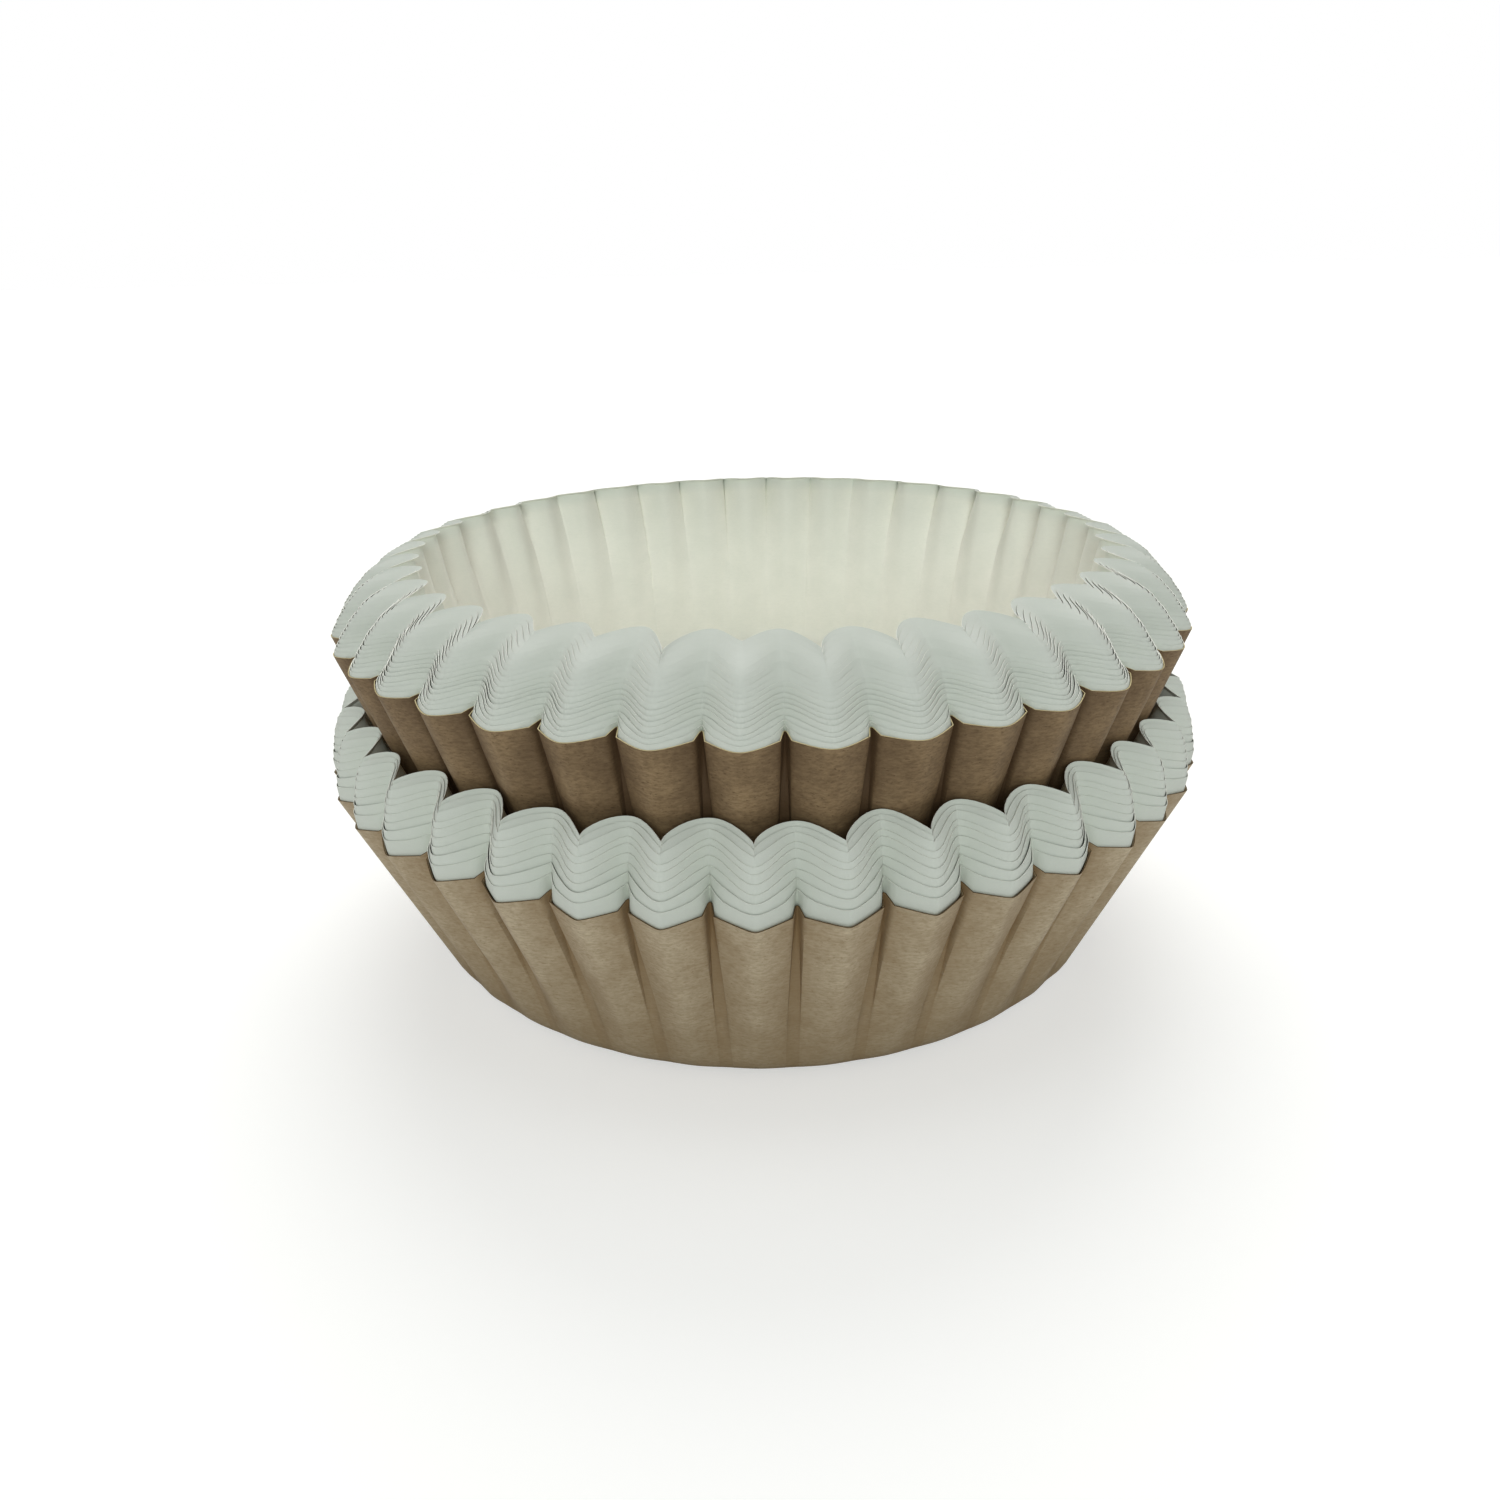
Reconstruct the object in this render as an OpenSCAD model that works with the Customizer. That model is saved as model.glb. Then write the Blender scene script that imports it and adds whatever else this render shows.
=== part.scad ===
// Stack of pleated paper baking cups in two nested bundles.
// Each bundle is one brown kraft liner with white liners nested inside it, and the upper bundle
// sits in the mouth of the lower one. Every liner is one round sheet: a flat floor and a wall
// gathered into folds that start at nothing on the floor's edge and are deepest at the cut rim.
// Outward folds are called ridges and inward folds creases. Paper doesn't stretch, so a ridge and
// a crease have the same length from the floor's edge to the rim, and the steeper creases end higher.

/* [Sheet] */
// Number of pleats gathered into every liner
pleats = 40; // [32:4:44]
// Thickness of the paper
paper = 0.1; // [0.06:0.01:0.12]
// Radius of the flat floor of a liner as it is pressed
floor_radius = 35; // [34:0.5:38]
// Length of the wall along a fold, from the floor's edge to the cut rim
wall_length = 21; // [19:0.2:24]
// Distance that the ridges of the lower kraft liner stand outside its floor's edge at the rim
flare = 8.6; // [8:0.1:10.5]
// Width of the soft bend at the floor's edge of the liner that the stack stands on
floor_bend = 0.9; // [0.4:0.1:1.5]
// Bow of the band that the rims of a bundle make, from a straight slope at 0 to a quarter round at 1
band_bow = 0.5; // [0:0.05:0.55]

/* [Lower bundle] */
// Number of white liners nested in the lower kraft liner
lower_whites = 9; // [3:1:9]
// Depth of the folds at the rims of the lower bundle, from ridge to crease
lower_fold = 2.2; // [1.8:0.1:3]
// Height of the first white floor above the kraft floor
lower_first_rise = 1.4; // [1.2:0.1:2.2]
// Mean height of each further white floor above the one outside it
lower_rise = 0.62; // [0.4:0.01:0.65]
// Radius that each further white floor loses to the one outside it
lower_floor_inset = 0.2; // [0.16:0.01:0.24]
// Mean radius that each rim loses to the one outside it
lower_rim_inset = 0.17; // [0.14:0.01:0.26]

/* [Upper bundle] */
// Number of white liners nested in the upper kraft liner
upper_whites = 18; // [3:1:18]
// Radius that the upper kraft liner's rim loses to the lower one's, because its folds are drawn in
upper_draw_in = 1.7; // [1:0.1:2.2]
// Depth of the folds at the upper kraft liner's rim, from ridge to crease
upper_fold = 2; // [1.5:0.1:2.2]
// Depth that the folds gain from each liner to the next one in, as the same paper is drawn tighter
upper_fold_gain = 0.08; // [0.04:0.01:0.09]
// Mean height of each white floor above the one outside it
upper_rise = 0.29; // [0.28:0.01:0.4]
// Radius that each white floor loses to the one outside it
upper_floor_inset = 0.21; // [0.18:0.01:0.24]
// Mean radius that each rim loses to the one outside it
upper_rim_inset = 0.29; // [0.26:0.01:0.34]
// Turn of the upper bundle about the upright axis, in degrees
upper_turn = -1; // [-3:0.5:3]
// Clear gap between the upper kraft liner's floor edge and the creases that carry it
seat_gap = 0.3; // [0.2:0.05:0.4]

/* [Hidden] */
pitch = 360 / pleats;
kraft_colour = "#8c7b5f";
white_colour = "#dde0d4";

function two_digits(n) = n < 10 ? str("0", n) : str(n);
function lower_name(n) = str("lower_white_liner_", two_digits(n));
function upper_name(n) = str("upper_white_liner_", two_digits(n));

// Height that a fold of wall_length reaches when its rim stands this far outside the floor's edge
function fold_height(run) = sqrt(pow(wall_length, 2) - pow(run, 2));

// Steps that liner n of a bundle stands up from its first one, and in from it, where a bundle is
// last steps deep: the outer rims of a bowed band climb more than a mean step and the inner ones less
function steps_up(n, last) = (1 - band_bow) * n + band_bow * last * sin(90 * n / last);
function steps_in(n, last) = (1 - band_bow) * n + band_bow * last * (1 - cos(90 * n / last));

// A liner is [floor radius, floor height, ridge radius at the rim, crease radius at the rim]
function lower_liner(n) = let (
    rim = floor_radius + flare - steps_in(n, lower_whites) * lower_rim_inset
) [
    floor_radius - max(0, n - 1) * lower_floor_inset,
    n == 0 ? 0 : lower_first_rise + steps_up(n - 1, lower_whites - 1) * lower_rise,
    rim,
    rim - lower_fold
];

function upper_liner(n) = let (
    rim = floor_radius + flare - upper_draw_in - steps_in(n, upper_whites) * upper_rim_inset
) [
    floor_radius - n * upper_floor_inset,
    seat_height + steps_up(n, upper_whites) * upper_rise,
    rim,
    rim - upper_fold - n * upper_fold_gain
];

// Thickness of the sheet measured along the radius, where the folds lie slanted to it
function sheet_run(liner) = let (
    depth = liner[2] - liner[3],
    half_pitch = liner[2] * sin(pitch / 2)
) paper * sqrt(pow(depth, 2) + pow(half_pitch, 2)) / half_pitch;

// The upper bundle rests where its floor's edge meets the creases of the innermost lower liner
carrier = lower_liner(lower_whites);
carrier_foot = carrier[0] * cos(pitch / 2) - sheet_run(carrier);
carrier_head = carrier[3] - sheet_run(carrier);
carrier_height = fold_height(carrier[3] - carrier[0]);
seat_height = carrier[1]
    + carrier_height * (floor_radius + seat_gap - carrier_foot) / (carrier_head - carrier_foot);

function at(radius, turns, height) = [
    radius * sin(turns * pitch),
    -radius * cos(turns * pitch),
    height
];
function ring(radius, height, shift = 0) = [for (k = [0:pleats - 1]) at(radius, k + shift, height)];

// Side faces between two rings that stand one above the other, seen from outside
function band(low, high) = [for (k = [0:pleats - 1]) let (
    next = (k + 1) % pleats
) [low + k, high + k, high + next, low + next]];

// Side faces of the folds between the floor's edge and the rim: each crease spreads into a flat
// gusset that is as wide as one pleat at the floor's edge
function folds(foot, ridge, crease) = [for (k = [0:pleats - 1]) let (
    next = (k + 1) % pleats
) each [
    [foot + k, ridge + k, crease + k],
    [foot + k, crease + k, foot + next],
    [foot + next, crease + k, ridge + next]
]];

function turned_over(faces) = [for (face = faces) [for (k = [len(face) - 1:-1:0]) face[k]]];

// One liner as a closed sheet: its outer skin, its inner skin, and the cut edge that joins them.
// full_edge gives the cut edge the paper's thickness all round. Without it the edge thins out
// at each crease, which halves the faces on the edge of a liner that is packed between others.
module pleated_liner(liner, bend = 0, full_edge = false) {
    floor_r = liner[0];
    floor_z = liner[1];
    run = sheet_run(liner);
    ridge_z = floor_z + fold_height(liner[2] - floor_r);
    crease_z = floor_z + fold_height(liner[3] - floor_r);
    lean = (liner[2] - floor_r) / wall_length;
    inner_floor_r = floor_r - run + paper * lean;
    bend_r = bend * lean;
    bend_z = bend * sqrt(1 - pow(lean, 2));

    outer_floor = ring(floor_r - bend, floor_z);
    outer_knee = bend > 0 ? ring(floor_r + bend_r, floor_z + bend_z) : [];
    inner_floor = ring(inner_floor_r - bend, floor_z + paper);
    inner_knee = bend > 0 ? ring(floor_r + bend_r - run, floor_z + bend_z) : [];
    outer_ridge = ring(liner[2], ridge_z);
    outer_crease = ring(liner[3], crease_z, 0.5);
    inner_ridge = ring(liner[2] - run, ridge_z);
    inner_crease = full_edge ? ring(liner[3] - run, crease_z, 0.5) : [];

    knee = len(outer_knee);
    inner_at = pleats + knee;
    ridge_at = 2 * inner_at;
    crease_at = ridge_at + pleats;
    inner_ridge_at = crease_at + pleats;
    inner_crease_at = full_edge ? inner_ridge_at + pleats : crease_at;

    outer_skin = concat(
        [[for (k = [0:pleats - 1]) k]],
        knee > 0 ? band(0, pleats) : [],
        folds(knee, ridge_at, crease_at)
    );
    inner_skin = turned_over(concat(
        [[for (k = [0:pleats - 1]) inner_at + k]],
        knee > 0 ? band(inner_at, inner_at + pleats) : [],
        folds(inner_at + knee, inner_ridge_at, inner_crease_at)
    ));
    cut_edge = [for (k = [0:pleats - 1]) let (
        next = (k + 1) % pleats,
        corner = full_edge ? [inner_crease_at + k] : []
    ) each [
        concat([ridge_at + k, inner_ridge_at + k], corner, [crease_at + k]),
        concat([crease_at + k], corner, [inner_ridge_at + next, ridge_at + next])
    ]];

    polyhedron(
        points = concat(
            outer_floor, outer_knee, inner_floor, inner_knee,
            outer_ridge, outer_crease, inner_ridge, inner_crease
        ),
        faces = concat(outer_skin, inner_skin, cut_edge),
        convexity = 8
    );
}

module lower_kraft_liner() {
    color(kraft_colour) pleated_liner(lower_liner(0), bend = floor_bend, full_edge = true);
}

module lower_white_liner(n) {
    color(white_colour) pleated_liner(lower_liner(n), full_edge = n == lower_whites);
}

module upper_kraft_liner() {
    color(kraft_colour) rotate(upper_turn) pleated_liner(upper_liner(0), full_edge = true);
}

module upper_white_liner(n) {
    color(white_colour) rotate(upper_turn) pleated_liner(upper_liner(n), full_edge = n == upper_whites);
}

lower_kraft_liner();
for (n = [1:lower_whites]) lower_white_liner(n);
upper_kraft_liner();
for (n = [1:upper_whites]) upper_white_liner(n);
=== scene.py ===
"""Looks for a stack of pleated paper baking cups in two nested bundles.

Each bundle is one kraft liner with white liners inside it, and every liner is folded here as one
thin sheet that takes its sizes from its solid in the frame."""

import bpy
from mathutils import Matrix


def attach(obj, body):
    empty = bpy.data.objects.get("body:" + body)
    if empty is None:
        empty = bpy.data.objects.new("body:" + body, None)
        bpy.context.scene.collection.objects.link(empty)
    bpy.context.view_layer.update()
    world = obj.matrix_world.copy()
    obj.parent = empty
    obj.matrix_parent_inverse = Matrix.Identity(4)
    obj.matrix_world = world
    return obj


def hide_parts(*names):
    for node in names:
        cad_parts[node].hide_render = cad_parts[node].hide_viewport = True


bl_info = {
    "name": "Stack of Cupcake Liners",
    "version": (1, 0, 0),
    "blender": (4, 5, 0),
    "location": "3D View > Sidebar > Liners",
    "description": "Folds every paper liner of the packed stack and sets the stage for it",
    "category": "Object",
}

import math
from typing import NamedTuple

import bpy
import numpy as np
from bpy.props import FloatProperty, FloatVectorProperty, IntProperty, PointerProperty
from bpy.types import Operator, Panel, PropertyGroup
from mathutils import Matrix, Vector

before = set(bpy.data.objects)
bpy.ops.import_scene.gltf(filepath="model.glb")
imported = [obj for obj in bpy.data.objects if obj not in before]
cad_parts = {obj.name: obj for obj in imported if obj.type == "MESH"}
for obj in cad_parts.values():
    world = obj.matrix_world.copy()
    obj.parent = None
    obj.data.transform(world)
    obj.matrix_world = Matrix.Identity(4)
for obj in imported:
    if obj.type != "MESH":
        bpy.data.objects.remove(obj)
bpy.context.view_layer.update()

MM = 0.001
BODY = "root"


def linear(hex_colour):
    """Turns an sRGB hex colour into the linear RGBA that Blender works in."""
    channels = [int(hex_colour[at:at + 2], 16) / 255 for at in (1, 3, 5)]
    return [c / 12.92 if c <= 0.04045 else ((c + 0.055) / 1.055) ** 2.4 for c in channels] + [1.0]


def colour_property(name, description, hex_colour):
    return FloatVectorProperty(
        name=name, description=description, subtype="COLOR", size=4, min=0, max=1,
        default=linear(hex_colour)
    )


def length_property(name, description, millimetres):
    return FloatProperty(
        name=name, description=description, subtype="DISTANCE", unit="LENGTH", precision=5,
        min=0, default=millimetres * MM
    )


def share_property(name, description, share, most=1.0):
    return FloatProperty(
        name=name, description=description, subtype="FACTOR", min=0, max=most, default=share
    )


class LinerFolds(PropertyGroup):
    """How the paper is folded, beyond what the frame's solids give."""

    sheet: length_property("Sheet", "Thickness of the white paper", 0.045)
    kraft_sheet: length_property("Kraft sheet", "Thickness of the kraft paper", 0.08)
    loose_gap: length_property(
        "Loose gap", "Gap between neighbouring rims in the outer, loose part of a band", 0.13
    )
    tight_gap: length_property(
        "Tight gap", "The same gap in the inner part, where the rims are pressed", 0.004
    )
    sag: length_property(
        "Sag", "How far a nested wall bows in between its floor and the rim that it leans on", 0.3
    )
    floor_bend: length_property("Floor bend", "Reach of the soft bend between floor and wall", 1.4)
    shoulder: share_property(
        "Shoulder", "Where the flank of a kraft fold ends at the rim, from ridge to crease", 0.88
    )
    shoulder_spread: share_property(
        "Shoulder spread", "How much nearer to the ridge the flank ends at the floor's edge", 0.1
    )
    gusset: share_property(
        "Gusset", "Half width of the flat strip in a kraft crease, at the floor's edge", 0.24
    )
    flank_depth: share_property(
        "Flank depth", "Share of a kraft fold's depth that its flanks take up", 0.5
    )
    spacing_play: share_property(
        "Spacing play", "Chance shift of a fold, as a share of a pleat", 0.035
    )
    depth_play: share_property("Depth play", "Chance change of a fold's depth", 0.14)
    wobble: length_property("Wobble", "How far the rims wander from a true circle", 0.12)
    rim_play: length_property("Rim play", "Chance height of each liner's rim", 0.07)


class LowerBundle(PropertyGroup):
    """What sets the lower bundle apart."""

    outer_depth: share_property(
        "Outer depth", "Depth of the outermost liner's folds against its solid's", 1.13, 2.0
    )
    middle_depth: share_property(
        "Middle depth", "Depth of the middle liner's folds against its solid's", 1.12, 2.0
    )
    inner_depth: share_property(
        "Inner depth", "Depth of the innermost liner's folds against its solid's", 1.1, 2.0
    )
    ridge_round: share_property(
        "Ridge rounding", "How softly the kraft is bent outwards at the rim", 0.12
    )
    kraft_gap: length_property(
        "Kraft gap", "Gap between the kraft rim and the first white one", 0.2
    )
    looseness: share_property("Looseness", "How much of the loose gap the outer rims have", 1.0)
    loose_to: share_property("Loose to", "How far into the band the rims stand loose", 0.6)
    pinched_to: share_property(
        "Pinched to", "How far into the band the kraft's tucks pinch the folds", 0.4
    )
    lobed_from: share_property("Lobed from", "How far into the band the lobes begin", 0.62)
    filled: share_property(
        "Filled folds", "How far chance folds of the innermost liner are filled", 0.08
    )
    seed: IntProperty(name="Seed", description="Picks the chance shifts of the folds", default=7)


class UpperBundle(PropertyGroup):
    """What sets the upper bundle apart."""

    outer_depth: share_property(
        "Outer depth", "Depth of the outermost liner's folds against its solid's", 1.12, 2.0
    )
    middle_depth: share_property(
        "Middle depth", "Depth of the middle liner's folds against its solid's", 0.72, 2.0
    )
    inner_depth: share_property(
        "Inner depth", "Depth of the innermost liner's folds against its solid's", 0.98, 2.0
    )
    ridge_round: share_property(
        "Ridge rounding", "How softly the kraft is bent outwards at the rim", 0.5
    )
    kraft_gap: length_property(
        "Kraft gap", "Gap between the kraft rim and the first white one", 0.015
    )
    looseness: share_property("Looseness", "How much of the loose gap the outer rims have", 0.55)
    loose_to: share_property("Loose to", "How far into the band the rims stand loose", 1.0)
    pinched_to: share_property(
        "Pinched to", "How far into the band the kraft's tucks pinch the folds", 0.2
    )
    lobed_from: share_property("Lobed from", "How far into the band the lobes begin", 0.7)
    filled: share_property(
        "Filled folds", "How far chance folds of the innermost liner are filled", 0.55
    )
    seed: IntProperty(name="Seed", description="Picks the chance shifts of the folds", default=2597)


class PaperColours(PropertyGroup):
    """Colours of the papers."""

    kraft: colour_property("Kraft", "Unbleached paper of the lower kraft liner", "#dac9ae")
    # Mixed in for the fibres, and as painted shade in the creases and towards the foot.
    kraft_fibre_and_shade: colour_property("Kraft fibre", "Darker fibres and creases of it", "#957a58")
    # A darker and browner colour for the upper kraft liner than for the lower one.
    brown: colour_property("Brown kraft", "Browner batch of the upper kraft liner", "#a48967")
    # Mixed in for the fibres, and as painted shade in the creases and towards the foot.
    brown_fibre_and_shade: colour_property("Brown kraft fibre", "Darker fibres and creases of it", "#513b26")
    # Partly painted shade: the dark brown of this cut edge also stands for the shadow in the gap
    # behind it.
    lower_edge_and_gap_shade: colour_property("Lower kraft edge", "Cut edge of the lower kraft liner", "#5e482a")
    upper_edge: colour_property("Upper kraft edge", "Cut edge of the upper kraft liner", "#d6c698")
    white: colour_property("White", "Bleached paper of the white liners", "#f8f6ec")
    # Painted shade: a greyer, cooler white for the strips of the crowded rims in the bands.
    white_rim_shade: colour_property("White rim", "The same where a single sheet stands alone", "#e4e7df")
    # Mixed in for the fibres, and as painted shade in the creases near the rim.
    white_fibre_and_shade: colour_property("White fibre", "Greyer fibres in the white paper", "#cdd2c7")


class StageSettings(PropertyGroup):
    """Camera, lamps and floor."""

    camera_distance: length_property(
        "Camera distance", "From the lens to the aim point on the stack's axis", 122.2
    )
    aim_height: length_property("Aim height", "Height of the aim point over the floor", 25)
    elevation: FloatProperty(
        name="Elevation", description="Camera's angle over the aim point", subtype="ANGLE",
        default=math.radians(18.6)
    )
    azimuth: FloatProperty(
        name="Azimuth", description="Camera's turn about the stack", subtype="ANGLE",
        default=math.radians(1.0)
    )
    tilt: FloatProperty(
        name="Tilt", description="How far below the aim point the camera looks", subtype="ANGLE",
        default=math.radians(4.13)
    )
    pan: FloatProperty(
        name="Pan", description="How far to the left of the axis the camera looks", subtype="ANGLE",
        default=math.radians(0.63)
    )
    roll: FloatProperty(
        name="Roll", description="Camera's turn about its own axis", subtype="ANGLE",
        default=math.radians(-1.29)
    )
    focal_length: FloatProperty(
        name="Focal length", description="On a sensor 36 mm wide", subtype="DISTANCE_CAMERA",
        min=1, default=27.83
    )
    floor: colour_property("Floor", "Plain pale floor", "#cfcfcc")


class Liner(NamedTuple):
    """Sizes of one liner, read from its solid, in metres and radians."""

    name: str
    pleats: int
    turn: float
    floor_r: float
    floor_z: float
    ridge_r: float
    ridge_z: float
    crease_r: float
    crease_z: float


# Points this near to the widest or the highest one are ridges or creases too, and the lowest tenth
# of a solid is the foot of its wall
HAIR = 0.01 * MM
FOOT_SHARE = 0.1


def read_liner(name):
    """Measures a liner's floor, ridges and creases on its solid.

    The floor's radius is where a line down a ridge meets the floor's plane, because the kraft
    solid has its floor's edge cut off by a bend."""
    spots = np.array([tuple(v.co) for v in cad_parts[name].data.vertices])
    radius = np.hypot(spots[:, 0], spots[:, 1])
    height = spots[:, 2] - spots[:, 2].min()
    ridges = radius > radius.max() - HAIR
    ridge_angles = np.arctan2(spots[ridges, 0], -spots[ridges, 1])
    pleats = len(np.unique(np.round(ridge_angles, 3)))
    turn = ridge_angles[np.argmin(np.abs(ridge_angles))]
    top = spots[:, 2] > spots[:, 2].max() - HAIR
    low = height < FOOT_SHARE * height.max()
    slope = (radius.max() - radius[low]) / (height[ridges].max() - height[low])
    floor_r = (radius[low] - slope * height[low]).max()
    return Liner(
        name, pleats, turn,
        floor_r, spots[:, 2].min(),
        radius.max(), spots[ridges, 2].max(),
        radius[top].max(), spots[:, 2].max(),
    )


def bundle_names(kind):
    """Names of a bundle's liners, from the outermost in."""
    whites = sorted(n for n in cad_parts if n.startswith(kind + "_white"))
    return [kind + "_kraft_liner"] + whites


# Stations from a ridge (0) to a crease (1). They crowd at both ends, where the sharp folds are.
SHOULDER_AT = 0.84
CORNER_AT = 0.97
STATIONS = np.array([0.0, 0.03, 0.08, 0.16, 0.3, 0.48, 0.64, 0.76, SHOULDER_AT, 0.9, CORNER_AT])

# Chance ranges of how sharply an inner liner's outward fold is bent on its steeper side and on its
# gentler one, as the power of a quarter wave: the lower, the sharper.
STEEP_SIDE = (0.5, 0.72)
GENTLE_SIDE = (0.7, 1.05)


class Around(NamedTuple):
    """The samples around a bundle's liners, each with the fold that it belongs to."""

    ridge: np.ndarray
    span: np.ndarray
    station: np.ndarray
    depth: np.ndarray
    sharpness: np.ndarray
    filled: np.ndarray
    wander: np.ndarray

    def angle(self, share):
        """Angle of each sample that lies this share of the way from its ridge to its crease."""
        return self.ridge + self.span * share


def samples_around(liner, folds, bundle):
    """Spaces the folds with some chance and samples each half pleat at the stations."""
    rng = np.random.default_rng(bundle.seed)
    pleats = liner.pleats
    pitch = 2 * math.pi / pleats
    ridge_shift, crease_shift = rng.uniform(-folds.spacing_play, folds.spacing_play, (2, pleats))
    depth = 1 + rng.uniform(-folds.depth_play, folds.depth_play, pleats)
    steep, gentle = rng.uniform(*STEEP_SIDE, pleats), rng.uniform(*GENTLE_SIDE, pleats)
    filled = bundle.filled * rng.uniform(0, 1, pleats) ** 2
    phase = rng.uniform(0, 2 * math.pi)
    back = np.concatenate([[1.0], STATIONS[:0:-1]])
    parts = []
    for k in range(pleats):
        nxt = (k + 1) % pleats
        crease = (k + 0.5 + crease_shift[k]) * pitch
        for ridge, owner, side, stations in (
            ((k + ridge_shift[k]) * pitch, k, steep, STATIONS),
            ((k + 1 + ridge_shift[nxt]) * pitch, nxt, gentle, back),
        ):
            rows = [ridge, crease - ridge, 0, depth[k], side[owner] + filled[owner], filled[owner]]
            block = np.tile(np.array(rows)[:, None], len(stations))
            block[2] = stations
            parts.append(block)
    ridge, span, station, depths, sharpness, fills = np.concatenate(parts, axis=1)
    angle = ridge + span * station
    # Two slow waves that only draw the rim inwards, so that it stays inside the one around it
    wander = folds.wobble * (
        (np.cos(2 * angle + phase) + 0.5 * np.cos(3 * angle - 2 * phase)) / 1.5 - 1
    )
    return Around(liner.turn + ridge, span, station, depths, sharpness, fills, wander)


def smooth_step(x):
    """Eases from 0 to 1 and stays there on either side."""
    x = np.clip(x, 0, 1)
    return x * x * (3 - 2 * x)


def blend(start, end, share):
    """Value that lies this share of the way from start to end."""
    return start + (end - start) * share


def rounded(x, soft):
    """A straight slope from 0 to 1 whose start is bent softly."""
    return (np.sqrt(x ** 2 + soft ** 2) - soft) / (math.sqrt(1 + soft ** 2) - soft)


# How a kraft tuck opens towards the floor's edge, and how it closes at its bottom
FOOT_FLANK_DEPTH = 0.65
FOOT_SOFTNESS = 0.6
GUSSET_SPREAD = 0.7
LEAST_SIDE = 0.02
SIDE_DEPTH = 0.96


def tucked(station, climb, soft, folds):
    """Place and depth of a kraft fold's samples at one height, both from 0 at the ridge to 1.

    A flank runs from the ridge to a shoulder, a narrow side turns in from there, and a flat gusset
    that starts at nothing on the rim closes the crease."""
    shoulder = folds.shoulder - folds.shoulder_spread * (1 - climb)
    gusset = max(1 - CORNER_AT, folds.gusset * (1 - climb) ** GUSSET_SPREAD)
    corner = max(1 - gusset, shoulder + LEAST_SIDE)
    along = station / SHOULDER_AT
    side = np.clip((station - SHOULDER_AT) / (CORNER_AT - SHOULDER_AT), 0, 1)
    last = np.clip((station - CORNER_AT) / (1 - CORNER_AT), 0, 1)
    on_flank = station <= SHOULDER_AT
    turned_in = blend(shoulder, corner, side) + (1 - corner) * last
    share = np.where(on_flank, along * shoulder, turned_in)
    flank_depth = blend(FOOT_FLANK_DEPTH, folds.flank_depth, climb)
    softness = blend(FOOT_SOFTNESS, soft, climb ** 2)
    flank = flank_depth * rounded(np.minimum(along, 1), softness)
    drop = blend(flank_depth, SIDE_DEPTH, side) + (1 - SIDE_DEPTH) * last
    return share, np.where(on_flank, flank, drop)


# Width of a pinched crease, what its flanks take of the depth, and how soft its ridge is
PINCH_WIDTH = 0.42
PINCH_SLOPE = 0.55
PINCH_SOFTNESS = 0.2


def pinched(share):
    """An outward fold with straight flanks and an inward one that is drawn in sharply."""
    into = np.clip((share - (1 - PINCH_WIDTH)) / PINCH_WIDTH, 0, 1)
    return PINCH_SLOPE * rounded(share, PINCH_SOFTNESS) + (1 - PINCH_SLOPE) * into ** 2


def swung(share):
    """An even wave, as round outwards as inwards."""
    return (1 - np.cos(math.pi * share)) / 2


WAVE_ROUNDNESS = 0.75
WAVE_SOFTNESS = 0.45


def waved(share):
    """A round outward fold and a slightly sharper inward one."""
    slope = rounded(share, WAVE_SOFTNESS)
    return WAVE_ROUNDNESS * swung(share) + (1 - WAVE_ROUNDNESS) * slope


def lobed(share, sharpness, filled):
    """A sharp outward fold, some of them filled up, and a broad round inward one."""
    return filled + (1 - filled) * np.sin(math.pi / 2 * share) ** sharpness


def white_shape(around, share, inside, bundle):
    """Depth of a white liner's fold at each sample, from 0 on the ridge to 1 at the crease.

    The first ones are pinched by the kraft's tucks, the middle ones are waved, and the innermost
    are lobed, because each liner's paper is gathered tighter than that of the one outside it."""
    pinch = 1 - smooth_step(inside / bundle.pinched_to)
    lobe = smooth_step((inside - bundle.lobed_from) / (1 - bundle.lobed_from))
    return (
        pinch * pinched(share) + (1 - pinch - lobe) * waved(share)
        + lobe * lobed(share, around.sharpness, around.filled)
    )


def fold_depth(liner, around, inside, bundle):
    """Depth of each fold of a liner at its rim, from ridge to crease."""
    depths = bundle.outer_depth, bundle.middle_depth, bundle.inner_depth
    deepen = np.interp(inside, (0, 0.5, 1), depths)
    return (liner.ridge_r - liner.crease_r) * around.depth * deepen


def rim_line(liner, around, shape, fold, lift):
    """Radius and height of the cut rim at each sample. All folds have the same slant length."""
    radius = liner.ridge_r + around.wander - fold * shape
    slant = math.hypot(liner.ridge_r - liner.floor_r, liner.ridge_z - liner.floor_z)
    height = liner.floor_z + np.sqrt(slant ** 2 - (radius - liner.floor_r) ** 2) + lift
    return radius, height


# Heights at which each kind of wall gets a row of points, as shares of the way up to its rim.
# A nested wall has its knee where it leans on the next rim out. The knee is drawn just below that
# rim, so that it stays out of sight.
KNEE_AT = 0.9
HIDDEN_KNEE = 0.1 * MM
KRAFT_ROWS = (0.1, 0.18, 0.26, 0.35, 0.45, 0.55, 0.65, 0.75, 0.84, 0.92, 0.97, 1.0)
FIRST_ROWS = (0.1, 0.25, 0.4, 0.55, 0.7, 0.8, KNEE_AT, KNEE_AT + 0.01, 1.0)
HIDDEN_ROWS = (0.1, 0.45, KNEE_AT, KNEE_AT + 0.01, 1.0)
LAST_ROWS = (0.1, 0.25, 0.45, 0.65, 0.8, 0.87, KNEE_AT, KNEE_AT + 0.01, 0.95, 1.0)

# The kraft's folds are even waves near the floor and pressed tucks from here up
TUCKS_FROM = 0.15
TUCKS_FULL = 0.9


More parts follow.
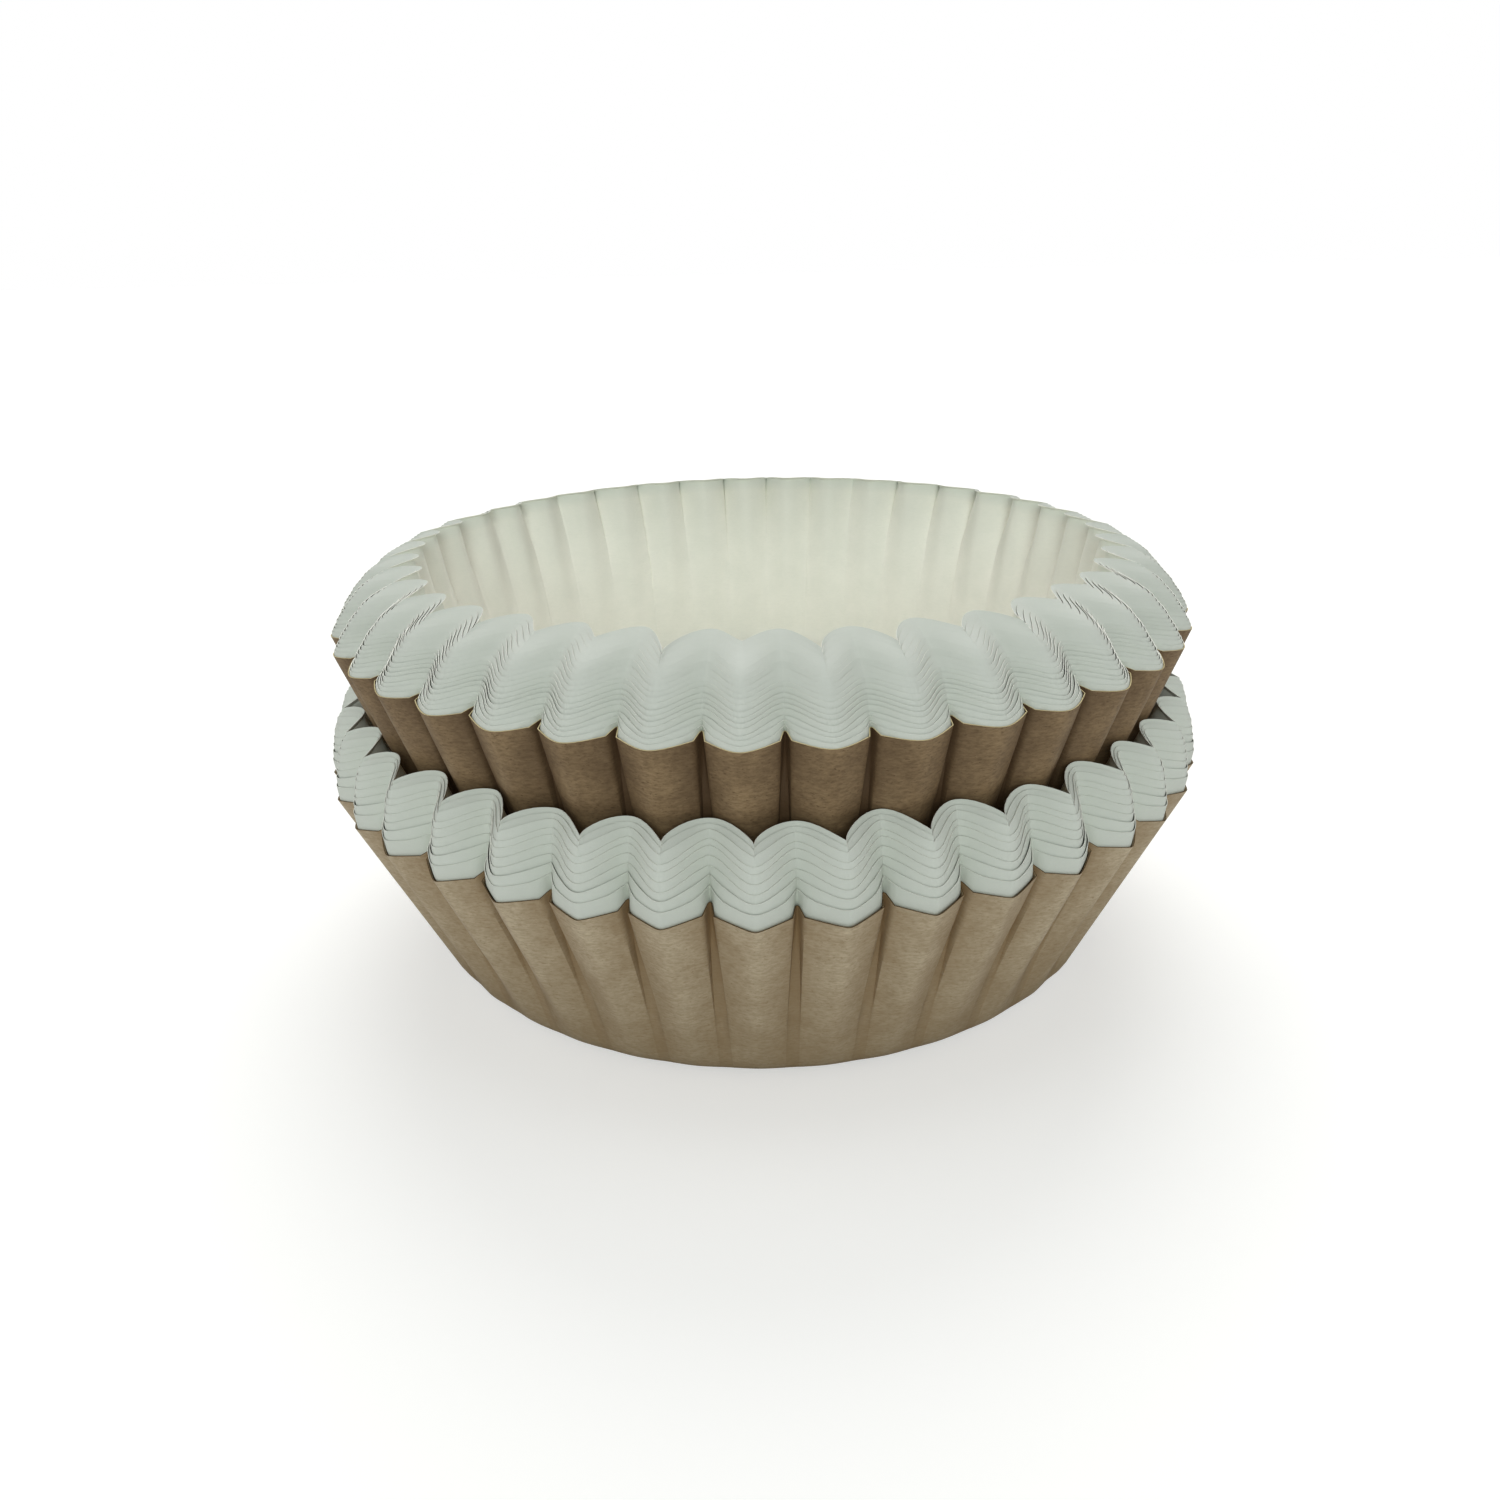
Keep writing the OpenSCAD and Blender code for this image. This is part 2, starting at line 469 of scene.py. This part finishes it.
def kraft_wall(liner, around, fold, rim, soft, folds):
    """Rows of (angle, radius, height, climb) up a kraft liner's wall."""
    rows = []
    for climb in KRAFT_ROWS:
        share, depth = tucked(around.station, climb, soft, folds)
        pressed = smooth_step((climb - TUCKS_FROM) / (TUCKS_FULL - TUCKS_FROM))
        depth = blend(swung(share), depth, pressed)
        straight = blend(liner.floor_r, liner.ridge_r + around.wander, climb)
        radius = straight - fold * climb * depth
        rows.append((around.angle(share), radius, blend(liner.floor_z, rim[1], climb), climb))
    return rows


def leaning_wall(liner, angle, contact, rim, climbs, sag, drawn_in):
    """Rows up a liner that leans on the rim of the next one out.

    It bows in a little on its way up to that contact, and runs from there to its own rim.
    drawn_in is how far its outward folds are drawn in on that way."""
    rows = []
    for climb in climbs:
        if climb <= KNEE_AT:
            part = climb / KNEE_AT
            bow = sag * 4 * part * (1 - part) + drawn_in * part * (1 - part ** 4)
            radius = blend(liner.floor_r, contact[0], part) - bow
            height = blend(liner.floor_z, contact[1], part)
        else:
            part = (climb - KNEE_AT) / (1 - KNEE_AT)
            radius, height = blend(contact[0], rim[0], part), blend(contact[1], rim[1], part)
        rows.append((angle, radius, height, climb))
    return rows


def kept_inside(wall, kraft, clearance):
    """Draws a wall's rows in where they would come too near the kraft wall around them."""
    rows = []
    for angle, radius, height, climb in wall:
        if climb <= KNEE_AT:
            beside = [
                [np.interp(angle, outer[0], values, period=2 * math.pi) for values in outer[1:3]]
                for outer in kraft
            ]
            radii, heights = np.moveaxis(np.array(beside), 1, 0)
            limit = [np.interp(height[k], heights[:, k], radii[:, k]) for k in range(len(angle))]
            radius = np.minimum(radius, np.array(limit) - clearance)
        rows.append((angle, radius, height, climb))
    return rows


# Radius of the ring inside a floor, as a share of the floor's, and steps of the bend at its edge
FLOOR_RING = 0.6
BEND_STEPS = (0.0, 0.25, 0.5, 0.75)
HIDDEN_BEND_STEPS = (0.0, 0.5)


def skin_points(liner, wall, folds, in_sight):
    """Points of a liner's outer skin as a grid of rings, from the floor's middle out to the rim."""
    foot_angle, foot_r, foot_z, foot_climb = wall[0]
    level = np.zeros(len(foot_angle))
    rings = [(foot_angle, level + liner.floor_r * FLOOR_RING, level + liner.floor_z, 0.0)]
    start_r = liner.floor_r - folds.floor_bend
    for t in BEND_STEPS if in_sight else HIDDEN_BEND_STEPS:
        radius = (1 - t) ** 2 * start_r + 2 * t * (1 - t) * liner.floor_r + t * t * foot_r
        height = (1 - t * t) * liner.floor_z + t * t * foot_z
        rings.append((foot_angle, radius, height, foot_climb * t))
    rings += wall
    points = [
        np.stack([radius * np.sin(angle), -radius * np.cos(angle), height], axis=-1)
        for angle, radius, height, _ in rings
    ]
    return np.array(points), [climb for _, _, _, climb in rings]


def inward_normals(grid):
    """Unit normals of a grid of rings, on the side of the cup's inside."""
    along = np.gradient(grid, axis=0)
    around = np.roll(grid, -1, axis=1) - np.roll(grid, 1, axis=1)
    normal = np.cross(along, around)
    return normal / (np.linalg.norm(normal, axis=-1, keepdims=True) + 1e-12)


# Folds sharper than this are shaded as creases and the rest as bends
SHARP_FOLD = math.radians(50)


def sheet_mesh(name, outer, inner, climb, fold, skin_material, edge_material):
    """Joins an outer and an inner grid of rings by a cut edge into one closed sheet.

    Its points also hold how far up the wall and how deep in a fold they lie, for the paper."""
    rings, count, _ = outer.shape
    points = np.concatenate([outer.reshape(-1, 3), inner.reshape(-1, 3)])
    points = np.concatenate([points, [outer[0].mean(axis=0)], [inner[0].mean(axis=0)]])
    here = np.arange(count)
    nxt = (here + 1) % count
    quads = []
    for ring in range(rings - 1):
        low, high = ring * count, (ring + 1) * count
        quads.append(np.stack([low + here, low + nxt, high + nxt, high + here], axis=-1))
    base = rings * count
    outer_quads = np.concatenate(quads)
    inner_quads = outer_quads[:, ::-1] + base
    rim_out, rim_in = (rings - 1) * count, base + (rings - 1) * count
    edge_quads = np.stack([rim_out + here, rim_out + nxt, rim_in + nxt, rim_in + here], axis=-1)
    middle = 2 * base
    fans = [(int(nxt[k]), int(here[k]), middle) for k in range(count)]
    fans += [(int(base + here[k]), int(base + nxt[k]), middle + 1) for k in range(count)]
    faces = np.concatenate([outer_quads, inner_quads, edge_quads]).tolist() + fans
    mesh = bpy.data.meshes.new(name)
    mesh.from_pydata(points.tolist(), [], faces)
    mesh.materials.append(skin_material)
    mesh.materials.append(edge_material)
    material_index = np.zeros(len(faces), dtype=np.int32)
    first_edge = len(outer_quads) + len(inner_quads)
    material_index[first_edge:first_edge + count] = 1
    mesh.polygons.foreach_set("material_index", material_index)
    mesh.polygons.foreach_set("use_smooth", np.ones(len(faces), dtype=bool))
    climb_values = np.repeat(np.array(climb), count)
    fold_values = np.tile(fold, rings)
    for label, values in (("climb", climb_values), ("fold", fold_values)):
        layer = mesh.attributes.new(label, "FLOAT", "POINT")
        both_skins = np.concatenate([values, values, [0.0, 0.0]]).astype(np.float32)
        layer.data.foreach_set("value", both_skins)
    mesh.set_sharp_from_angle(angle=SHARP_FOLD)
    mesh.update()
    return mesh


def add_piece(mesh, node_name):
    """Puts the sheet in the scene in the place of its solid."""
    piece = bpy.data.objects.new(node_name + "_sheet", mesh)
    bpy.context.scene.collection.objects.link(piece)
    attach(piece, BODY)
    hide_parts(node_name)
    return piece


# Most that slanted folds lengthen a sheet's thickness along the radius. The kraft's narrow sides
# are the steepest.
KRAFT_SLANT = 3.5
WHITE_SLANT = 2.0

# Least turn from one sample to the next, so that nothing is divided by zero
LEAST_TURN = 1e-4


def slant_factor(radius, angle, most):
    """How much longer a sheet's thickness is along the radius where its folds lie slanted to it."""
    turn = (np.roll(angle, -1) - np.roll(angle, 1)) % (2 * math.pi)
    slope = (np.roll(radius, -1) - np.roll(radius, 1)) / (radius * np.maximum(turn, LEAST_TURN))
    factor = np.minimum(np.sqrt(1 + slope ** 2), most)
    return np.maximum(factor, np.maximum(np.roll(factor, 1), np.roll(factor, -1)))


# Chance range of a loose gap, and how far it comes and goes around the cup in three slow waves and
# in seven quick ones
GAP_CHANCE = (0.5, 1.5)
SLOW_WAVE = 0.25
QUICK_WAVE = 0.2


def gap_to_next(inside, around, folds, bundle, rng):
    """Gap between a liner's rim and the next liner in, which comes and goes around the cup."""
    chance = rng.uniform(*GAP_CHANCE)
    loose = bundle.looseness * (1 - smooth_step(inside / bundle.loose_to)) * chance
    gap = blend(folds.tight_gap, folds.loose_gap, loose) if inside else bundle.kraft_gap
    slow, quick = rng.uniform(0, 2 * math.pi, 2)
    angle = around.angle(around.station)
    return gap * (
        1 + SLOW_WAVE * np.cos(3 * angle + slow) + QUICK_WAVE * np.cos(7 * angle + quick)
    )


# How much of the innermost liner's outward folds is smoothed away below its knee
SMOOTHED = 0.7


def white_wall(n, last, liner, angle, contact, rim, smoothing, kraft, folds):
    """Wall of the nth white liner, with more rows of points on the first and the last of them.

    The outer ones sag more. smoothing is how far the outward folds of the last one, whose inside
    is in sight, are drawn in below its knee."""
    climbs = {1: FIRST_ROWS, last: LAST_ROWS}.get(n, HIDDEN_ROWS)
    sag = folds.sag * (1 + 1 / n)
    wall = leaning_wall(liner, angle, contact, rim, climbs, sag, smoothing * (n == last))
    return kept_inside(wall, kraft, 2 * folds.kraft_sheet) if n == 1 else wall


def fold_bundle(kind, wanted, slot, skin_material, edge_material):
    """Folds the liners of a bundle, from the outermost in, and puts the wanted ones in the scene.

    Each liner's rim lies a sheet and a gap inside the one before, so all are folded every time."""
    scene = bpy.context.scene
    folds = scene.liner_folds
    bundle = scene.lower_bundle if kind == "lower" else scene.upper_bundle
    liners = [read_liner(name) for name in bundle_names(kind)]
    around = samples_around(liners[0], folds, bundle)
    rim_share, kraft_shape = tucked(around.station, 1.0, bundle.ridge_round, folds)
    angle = around.angle(rim_share)
    rng = np.random.default_rng(bundle.seed)
    last = len(liners) - 1
    for n, liner in enumerate(liners):
        inside = n / last
        fold = fold_depth(liner, around, inside, bundle)
        if n == 0:
            sheet, slant, shape = folds.kraft_sheet, KRAFT_SLANT, kraft_shape
            rim = rim_line(liner, around, shape, fold, 0.0)
            wall = kraft = kraft_wall(liner, around, fold, rim, bundle.ridge_round, folds)
        else:
            sheet, slant = folds.sheet, WHITE_SLANT
            shape = white_shape(around, rim_share, inside, bundle)
            contact = rim[0] - lean, rim[1] - HIDDEN_KNEE
            rim = rim_line(liner, around, shape, fold, rng.uniform(-1, 1) * folds.rim_play)
            smoothing = fold * np.maximum(0, blend(SMOOTHED, 1, swung(rim_share)) - shape)
            wall = white_wall(n, last, liner, angle, contact, rim, smoothing, kraft, folds)
        if wanted(n):
            outer, climb = skin_points(liner, wall, folds, n in (0, last))
            inner = outer + inward_normals(outer) * sheet
            mesh = sheet_mesh(
                liner.name, outer, inner, climb, shape, skin_material, edge_material
            )
            add_piece(mesh, liner.name)
        lean = sheet * slant_factor(rim[0], angle, slant)
        lean = lean + gap_to_next(inside, around, folds, bundle, rng)


def add_node(tree, kind, settings=None, **inputs):
    """Adds a node, sets its settings, and gives each named input a value or a link.

    An underscore stands for a space in an input's name, or goes before its number."""
    made = tree.nodes.new(kind)
    for key, value in (settings or {}).items():
        setattr(made, key, value)
    for key, value in inputs.items():
        socket = made.inputs[int(key[1:])] if key[0] == "_" else made.inputs[key.replace("_", " ")]
        if isinstance(value, bpy.types.NodeSocket):
            tree.links.new(value, socket)
        else:
            socket.default_value = value
    return made


def new_material(name):
    """An empty material and its node tree."""
    material = bpy.data.materials.new(name)
    material.use_nodes = True
    material.node_tree.nodes.clear()
    return material, material.node_tree


def per_metre(millimetres):
    """Texture scale for a pattern whose features are this many millimetres apart."""
    return 1 / (millimetres * MM)


# Spacing of the paper's patterns in millimetres. Clouds of thicker pulp have their real size.
# Fibres are about 0.03 mm wide, too fine to show, so the grain and the specks that bundles of them
# make are drawn some ten times coarser.
CLOUD_MM = 3.2
GRAIN_MM = 0.55
SPECK_MM = 0.3
EDGE_FIBRE_MM = 0.4

# The grain is drawn out along the circles that the wall runs round in
GRAIN_STRETCH = (1.0, 1.0, 2.6)

# Shares of the way up a wall: where the painted shade at the foot ends, where the painted shade in
# the creases begins to change, and over how much of it the rim's colour, painted greyer on the
# white liners as painted shade, sets in below the knee
FOOT_SHADE_TO = 0.75
CREASE_SHADE_FROM = 0.2
RIM_SHADE_FADE = 0.06


class PaperLook(NamedTuple):
    """Colours of a paper, and how much of the dark one each mark on it mixes in."""

    pale: tuple
    dark: tuple
    rim: tuple
    clouding: float
    grain: float
    # The crease shares darken the folds as painted shade, which on the kraft also stands partly for
    # ridges rubbed paler. The foot share is painted shade towards the foot, and rim is the colour
    # at the rim, painted greyer on the white liners.
    wall_crease_shade: float
    rim_crease_shade: float
    foot: float


def paper_skin(name, look):
    """Greaseproof paper, beaten and pressed smooth between rollers.

    It gives the eye a matt face with a faint satin, soft cloudy blotches where the pulp lies
    thicker, a fine grain that runs round the cup and scattered short fibres. The folds are painted
    darker than the ridges as painted shade, and on the kraft the ridges are partly also rubbed
    paler by handling. Where one sheet stands alone at the rim, with the dark of the stack behind
    it, the paper is painted greyer as painted shade, so it has a tone of its own there."""
    material, tree = new_material(name)
    place = add_node(tree, "ShaderNodeTexCoord").outputs["Object"]
    stretched = add_node(
        tree, "ShaderNodeVectorMath", {"operation": "MULTIPLY"}, _0=place, _1=GRAIN_STRETCH
    ).outputs[0]
    clouds = add_node(
        tree, "ShaderNodeTexNoise", Vector=place, Scale=per_metre(CLOUD_MM),
        Detail=3.0, Roughness=0.55
    ).outputs["Fac"]
    grain = add_node(
        tree, "ShaderNodeTexNoise", Vector=stretched, Scale=per_metre(GRAIN_MM),
        Detail=4.0, Roughness=0.65
    ).outputs["Fac"]
    specks = add_node(
        tree, "ShaderNodeTexNoise", Vector=stretched, Scale=per_metre(SPECK_MM),
        Detail=1.0, Roughness=0.5
    ).outputs["Fac"]
    cloud_share = add_node(
        tree, "ShaderNodeMapRange",
        Value=clouds, From_Min=0.36, From_Max=0.66, To_Min=0.0, To_Max=look.clouding
    ).outputs[0]
    grain_share = add_node(
        tree, "ShaderNodeMapRange",
        Value=grain, From_Min=0.35, From_Max=0.7, To_Min=0.0, To_Max=look.grain
    ).outputs[0]
    speck_share = add_node(
        tree, "ShaderNodeMapRange",
        Value=specks, From_Min=0.64, From_Max=0.74, To_Min=0.0, To_Max=look.grain
    ).outputs[0]
    climb = add_node(tree, "ShaderNodeAttribute", {"attribute_name": "climb"}).outputs["Fac"]
    # Painted shade: the paper darkens towards the foot of its wall. The darkening is strongest on
    # the upper kraft, which stands in the shade of the gap inside the lower bundle's rim.
    foot_shade_share = add_node(
        tree, "ShaderNodeMapRange",
        Value=climb, From_Min=0.0, From_Max=FOOT_SHADE_TO, To_Min=look.foot, To_Max=0.0
    ).outputs[0]
    fold = add_node(tree, "ShaderNodeAttribute", {"attribute_name": "fold"}).outputs["Fac"]
    # Painted shade: above the knee the paper takes the rim colour, which is greyer on the white
    # liners.
    rim_share = add_node(
        tree, "ShaderNodeMapRange",
        Value=climb, From_Min=KNEE_AT - RIM_SHADE_FADE, From_Max=KNEE_AT, To_Min=0.0, To_Max=1.0
    ).outputs[0]
    # Painted shade: the deeper a fold lies, the more of the dark colour it takes, and more so
    # towards the rim. On the kraft this also stands partly for ridges rubbed paler.
    crease_shade_tone = add_node(
        tree, "ShaderNodeMapRange",
        Value=climb, From_Min=CREASE_SHADE_FROM, From_Max=KNEE_AT,
        To_Min=look.wall_crease_shade, To_Max=look.rim_crease_shade
    ).outputs[0]
    crease_shade_share = add_node(
        tree, "ShaderNodeMapRange",
        Value=fold, From_Min=0.0, From_Max=0.9, To_Min=0.0, To_Max=crease_shade_tone
    ).outputs[0]
    colour = add_node(
        tree, "ShaderNodeMix", {"data_type": "RGBA"}, _0=rim_share, _6=look.pale, _7=look.rim
    ).outputs[2]
    for share in (cloud_share, grain_share, speck_share, foot_shade_share, crease_shade_share):
        colour = add_node(
            tree, "ShaderNodeMix", {"data_type": "RGBA"}, _0=share, _6=colour, _7=look.dark
        ).outputs[2]
    height = add_node(
        tree, "ShaderNodeMath", {"operation": "ADD"}, _0=grain, _1=clouds
    ).outputs[0]
    normal = add_node(
        tree, "ShaderNodeBump", Strength=0.35, Distance=0.03 * MM, Height=height
    ).outputs[0]
    shader = add_node(
        tree, "ShaderNodeBsdfPrincipled", Base_Color=colour, Roughness=0.6, IOR=1.5, Normal=normal
    )
    shader.inputs["Specular IOR Level"].default_value = 0.3
    add_node(tree, "ShaderNodeOutputMaterial", Surface=shader.outputs[0])
    return material


def paper_edge(name, colour):
    """Die-cut edge of a paper sheet: raw fibre, quite matt, with short light and dark stretches."""
    material, tree = new_material(name)
    place = add_node(tree, "ShaderNodeTexCoord").outputs["Object"]
    fibre = add_node(
        tree, "ShaderNodeTexNoise", Vector=place, Scale=per_metre(EDGE_FIBRE_MM), Detail=2.0
    ).outputs["Fac"]
    share = add_node(
        tree, "ShaderNodeMapRange",
        Value=fibre, From_Min=0.3, From_Max=0.7, To_Min=0.0, To_Max=0.4
    ).outputs[0]
    pale = [min(1.0, c * 1.2) for c in colour[:3]] + [1.0]
    mixed = add_node(
        tree, "ShaderNodeMix", {"data_type": "RGBA"}, _0=share, _6=colour, _7=pale
    ).outputs[2]
    shader = add_node(tree, "ShaderNodeBsdfPrincipled", Base_Color=mixed, Roughness=0.9, IOR=1.5)
    add_node(tree, "ShaderNodeOutputMaterial", Surface=shader.outputs[0])
    return material


def kraft_papers(colours):
    """Skin and cut edge of the lower kraft liner: unbleached kraft pulp, cloudy and fibrous."""
    pale, dark = tuple(colours.kraft), tuple(colours.kraft_fibre_and_shade)
    # The crease and foot shares here are painted shade. The crease one also stands partly for
    # rubbed ridges.
    skin = paper_skin("unbleached_kraft_greaseproof", PaperLook(
        pale, dark, rim=pale, clouding=0.35, grain=0.55, wall_crease_shade=0.5, rim_crease_shade=1.0, foot=0.55
    ))
    # The lower edge colour is partly painted shade for the gap behind the cut edge.
    return skin, paper_edge("die_cut_kraft_edge", tuple(colours.lower_edge_and_gap_shade))


def brown_kraft_papers(colours):
    """Skin and cut edge of the upper kraft liner: the same paper, given a darker and browner colour
    than the lower one.
    """
    pale, dark = tuple(colours.brown), tuple(colours.brown_fibre_and_shade)
    # The crease and foot shares here are painted shade. The crease one also stands partly for
    # rubbed ridges.
    skin = paper_skin("unbleached_brown_greaseproof", PaperLook(
        pale, dark, rim=pale, clouding=0.35, grain=0.55, wall_crease_shade=0.6, rim_crease_shade=0.95, foot=0.8
    ))
    return skin, paper_edge("die_cut_brown_edge", tuple(colours.upper_edge))


def white_papers(colours):
    """Skin and cut edge of the white liners: bleached pulp, even and slightly see-through.

    Both bundles share them, so they are made for the first and found again for the second."""
    pale, dark, rim = tuple(colours.white), tuple(colours.white_fibre_and_shade), tuple(colours.white_rim_shade)
    skin = bpy.data.materials.get("bleached_greaseproof")
    # The rim colour and the crease share are painted shade.
    skin = skin or paper_skin("bleached_greaseproof", PaperLook(
        pale, dark, rim, clouding=0.12, grain=0.1, wall_crease_shade=0.0, rim_crease_shade=0.4, foot=0.0
    ))
    edge = bpy.data.materials.get("die_cut_bleached_edge")
    return skin, edge or paper_edge("die_cut_bleached_edge", pale)


def outermost(n):
    return n == 0


def nested(n):
    return n > 0


class LINERS_OT_lower_kraft(Operator):
    """Fold the kraft liner that the lower bundle stands in"""

    bl_idname = "liners.lower_kraft"
    bl_label = "Lower Kraft Liner"

    def execute(self, context):
        papers = kraft_papers(context.scene.paper_colours)
        fold_bundle("lower", outermost, "kraft_paper", *papers)
        return {"FINISHED"}


class LINERS_OT_lower_whites(Operator):
    """Fold the white liners nested in the lower kraft liner"""

    bl_idname = "liners.lower_whites"
    bl_label = "Lower White Liners"

    def execute(self, context):
        papers = white_papers(context.scene.paper_colours)
        fold_bundle("lower", nested, "white_paper", *papers)
        return {"FINISHED"}


class LINERS_OT_upper_kraft(Operator):
    """Fold the kraft liner that sits in the mouth of the lower bundle"""

    bl_idname = "liners.upper_kraft"
    bl_label = "Upper Kraft Liner"

    def execute(self, context):
        papers = brown_kraft_papers(context.scene.paper_colours)
        fold_bundle("upper", outermost, "kraft_paper", *papers)
        return {"FINISHED"}


class LINERS_OT_upper_whites(Operator):
    """Fold the white liners nested in the upper kraft liner"""

    bl_idname = "liners.upper_whites"
    bl_label = "Upper White Liners"

    def execute(self, context):
        papers = white_papers(context.scene.paper_colours)
        fold_bundle("upper", nested, "white_paper", *papers)
        return {"FINISHED"}


def add_camera(stage):
    """Camera where the photographer's stood, with the stack in the same place of the frame."""
    aim = Vector((0, 0, stage.aim_height))
    back = Vector((0, -math.cos(stage.elevation), math.sin(stage.elevation)))
    turn = Matrix.Rotation(stage.azimuth, 4, "Z")
    look = turn @ Matrix.Rotation(stage.pan, 4, "Z") @ Matrix.Rotation(
        math.pi / 2 - stage.elevation - stage.tilt, 4, "X"
    ) @ Matrix.Rotation(stage.roll, 4, "Z")
    data = bpy.data.cameras.new("photo_camera")
    data.sensor_width = 36
    data.lens = stage.focal_length
    data.clip_start = 1 * MM
    data.clip_end = 20
    camera = bpy.data.objects.new("photo_camera", data)
    camera.matrix_world = Matrix.Translation(turn @ (aim + back * stage.camera_distance)) @ look
    bpy.context.scene.collection.objects.link(camera)
    bpy.context.scene.camera = camera


def add_lamp(name, towards, level, spread, hex_colour):
    """A broad far softbox. Its level is the brightness that it gives a white sheet facing it,
    and its spread the angle in degrees that it fills in the sky."""
    data = bpy.data.lights.new(name, "SUN")
    data.angle = math.radians(spread)
    data.energy = level * math.pi
    data.color = linear(hex_colour)[:3]
    lamp = bpy.data.objects.new(name, data)
    lamp.rotation_euler = Vector(towards).to_track_quat("Z", "Y").to_euler()
    bpy.context.scene.collection.objects.link(lamp)


WHITE = linear("#ffffff")
BLACK = linear("#000000")
FLOOR_REACH = 8.0
FLOOR_GLOW = 0.5


def add_floor(stage):
    """Pale painted floor. The camera alone sees a glow on it that brings it to the photo's white.

    Its shadow stays, and nothing of the glow falls on the stack."""
    far = FLOOR_REACH
    mesh = bpy.data.meshes.new("pale_floor")
    corners = [(-far, -far, 0), (far, -far, 0), (far, far, 0), (-far, far, 0)]
    mesh.from_pydata(corners, [], [(0, 1, 2, 3)])
    material, tree = new_material("pale_floor_paint")
    ray = add_node(tree, "ShaderNodeLightPath")
    paint = add_node(
        tree, "ShaderNodeBsdfPrincipled", Base_Color=tuple(stage.floor), Roughness=0.9, IOR=1.45
    )
    paint.inputs["Specular IOR Level"].default_value = 0.1
    glow = add_node(tree, "ShaderNodeEmission", Color=WHITE, Strength=FLOOR_GLOW)
    nothing = add_node(tree, "ShaderNodeEmission", Color=BLACK, Strength=0.0)
    seen = add_node(
        tree, "ShaderNodeMixShader", _0=ray.outputs["Is Camera Ray"],
        _1=nothing.outputs[0], _2=glow.outputs[0]
    )
    both = add_node(tree, "ShaderNodeAddShader", _0=paint.outputs[0], _1=seen.outputs[0])
    add_node(tree, "ShaderNodeOutputMaterial", Surface=both.outputs[0])
    mesh.materials.append(material)
    floor = bpy.data.objects.new("pale_floor", mesh)
    bpy.context.scene.collection.objects.link(floor)


WORLD_LEVEL = 0.06


def add_world():
    """Faint even light from all round. The camera sees it as the photo's white."""
    world = bpy.data.worlds.new("soft_studio")
    world.use_nodes = True
    tree = world.node_tree
    tree.nodes.clear()
    ray = add_node(tree, "ShaderNodeLightPath").outputs["Is Camera Ray"]
    soft = add_node(tree, "ShaderNodeBackground", Color=linear("#f4f5f2"), Strength=WORLD_LEVEL)
    white = add_node(tree, "ShaderNodeBackground", Color=WHITE, Strength=1.0)
    mixed = add_node(
        tree, "ShaderNodeMixShader", _0=ray, _1=soft.outputs[0], _2=white.outputs[0]
    )
    add_node(tree, "ShaderNodeOutputWorld", Surface=mixed.outputs[0])
    bpy.context.scene.world = world


# Softboxes: name, direction towards it, level, spread in degrees, colour
LAMPS = (
    ("overhead_softbox", (0.0, 0.3, 1.0), 0.25, 50, "#ffffff"),
    ("back_softbox", (0.0, 1.0, 0.8), 0.58, 50, "#ffffff"),
    ("front_softbox", (0.0, -1.0, 0.4), 0.41, 30, "#eaf3f0"),
    ("left_softbox", (-1.0, 0.0, 0.7), 0.17, 50, "#ffffff"),
    ("right_softbox", (1.0, 0.0, 0.7), 0.14, 50, "#ffffff"),
)


class LINERS_OT_stage(Operator):
    """Set the pale floor, the soft lamps and the camera"""

    bl_idname = "liners.stage"
    bl_label = "Stage"

    def execute(self, context):
        scene = context.scene
        add_floor(scene.liner_stage)
        add_world()
        for lamp in LAMPS:
            add_lamp(*lamp)
        add_camera(scene.liner_stage)
        scene.view_settings.view_transform = "Standard"
        return {"FINISHED"}


class LINERS_PT_stack(Panel):
    """Lists the pieces and their settings"""

    bl_label = "Cupcake Liners"
    bl_idname = "LINERS_PT_stack"
    bl_space_type = "VIEW_3D"
    bl_region_type = "UI"
    bl_category = "Liners"

    def draw(self, context):
        layout = self.layout
        for operator in OPERATORS:
            layout.operator(operator.bl_idname)
        for name in GROUPS:
            group = getattr(context.scene, name)
            box = layout.box()
            for key in group.__annotations__:
                box.prop(group, key)


OPERATORS = (
    LINERS_OT_lower_kraft, LINERS_OT_lower_whites, LINERS_OT_upper_kraft, LINERS_OT_upper_whites,
    LINERS_OT_stage,
)
GROUPS = {
    "liner_folds": LinerFolds, "lower_bundle": LowerBundle, "upper_bundle": UpperBundle,
    "paper_colours": PaperColours, "liner_stage": StageSettings,
}
CLASSES = tuple(GROUPS.values()) + OPERATORS + (LINERS_PT_stack,)


def register():
    for cls in CLASSES:
        bpy.utils.register_class(cls)
    for name, group in GROUPS.items():
        setattr(bpy.types.Scene, name, PointerProperty(type=group))


def unregister():
    for name in reversed(GROUPS):
        delattr(bpy.types.Scene, name)
    for cls in reversed(CLASSES):
        bpy.utils.unregister_class(cls)


def main():
    """Folds the stack and sets the stage."""
    register()
    bpy.ops.liners.lower_kraft()
    bpy.ops.liners.lower_whites()
    bpy.ops.liners.upper_kraft()
    bpy.ops.liners.upper_whites()
    bpy.ops.liners.stage()


if __name__ == "__main__":
    main()
